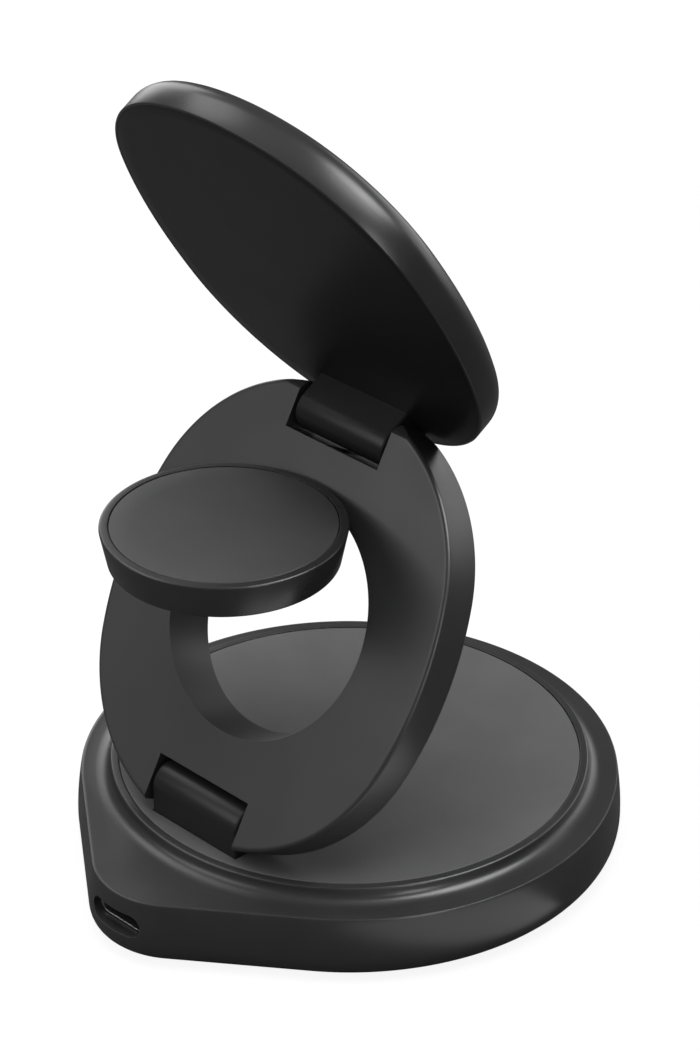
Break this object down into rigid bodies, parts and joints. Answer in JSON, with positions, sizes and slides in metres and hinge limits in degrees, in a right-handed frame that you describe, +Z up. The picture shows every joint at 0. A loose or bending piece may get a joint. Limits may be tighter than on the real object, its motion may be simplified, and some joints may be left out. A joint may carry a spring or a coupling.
{
  "type": "folding wireless charger",
  "caption": "Folding wireless charger: round base with an earbud pad, leaning oval arm with a watch puck in its hole, and a tilting oval phone disc.",
  "frame": {"origin": "centre of the base's round part, on the underside of the foot sheet", "axes": "+Z up from the table, X along the hinge axes, +Y away from the lobe and its port"},
  "size_m": [0.0762, 0.0829, 0.1174],
  "materials": {
    "base_plastic": "fine matte, black",
    "soft_pad": "soft matte silicone, very dark grey",
    "foot_rubber": "matte",
    "weight_steel": "plain",
    "circuit_board": "satin",
    "port_metal": "satin",
    "port_plastic": "plain",
    "copper": "lacquered wire",
    "ferrite": "plain",
    "hinge_plastic": "satin, black",
    "bronze": "plain",
    "hinge_steel": "plain",
    "arm_plastic": "satin, black",
    "arm_back": "fine matte, black",
    "puck_plastic": "satin, black",
    "magnet": "nickel plated",
    "disc_plastic": "satin, black",
    "disc_gloss": "semi-gloss, black"
  },
  "bodies": {
    "base": {"base_housing": "base_plastic", "base_pad": "soft_pad", "base_bottom_cover": "base_plastic", "foot_sheet": "foot_rubber", "base_weight": "weight_steel", "base_circuit_board": "circuit_board", "usb_port_shell": "port_metal", "usb_port_tongue": "port_plastic", "earbud_coil": "copper", "earbud_ferrite": "ferrite", "base_screws": "hinge_steel", "lower_hinge_block": "hinge_plastic", "lower_hinge_sleeve": "bronze"},
    "arm": {"arm_shell": "arm_plastic", "arm_back_plate": "arm_back", "lower_hinge_pin": "hinge_steel", "upper_hinge_pin": "hinge_steel", "watch_hinge_pin": "hinge_steel"},
    "puck": {"puck_housing": "puck_plastic", "puck_pad": "soft_pad", "puck_bottom_cover": "puck_plastic", "watch_coil": "copper", "watch_magnet": "magnet", "watch_ferrite": "ferrite", "watch_circuit_board": "circuit_board"},
    "disc": {"disc_shell": "disc_plastic", "disc_inner_cover": "disc_gloss", "disc_hinge_tongue": "hinge_plastic", "disc_outer_pad": "soft_pad", "phone_coil": "copper", "phone_ferrite": "ferrite", "phone_circuit_board": "circuit_board", "phone_magnets": "magnet", "upper_hinge_sleeve": "bronze", "disc_screws": "hinge_steel"}
  },
  "joints": [
    {"name": "arm_hinge", "type": "hinge", "parent": "base", "child": "arm", "pos_m": [0, -0.02664, 0.01572], "axis": [1, 0, 0], "range_deg": [-53, 15]},
    {"name": "phone_hinge", "type": "hinge", "parent": "arm", "child": "disc", "pos_m": [0, 0.00061, 0.06292], "axis": [1, 0, 0], "range_deg": [-60, 120]},
    {"name": "watch_hinge", "type": "hinge", "parent": "arm", "child": "puck", "pos_m": [0, -0.0046, 0.05585], "axis": [1, 0, 0], "range_deg": [-30, 60]}
  ],
  "couplings": [
    {"joint": "watch_hinge", "follows": "phone_hinge", "ratio": 0.5}
  ]
}
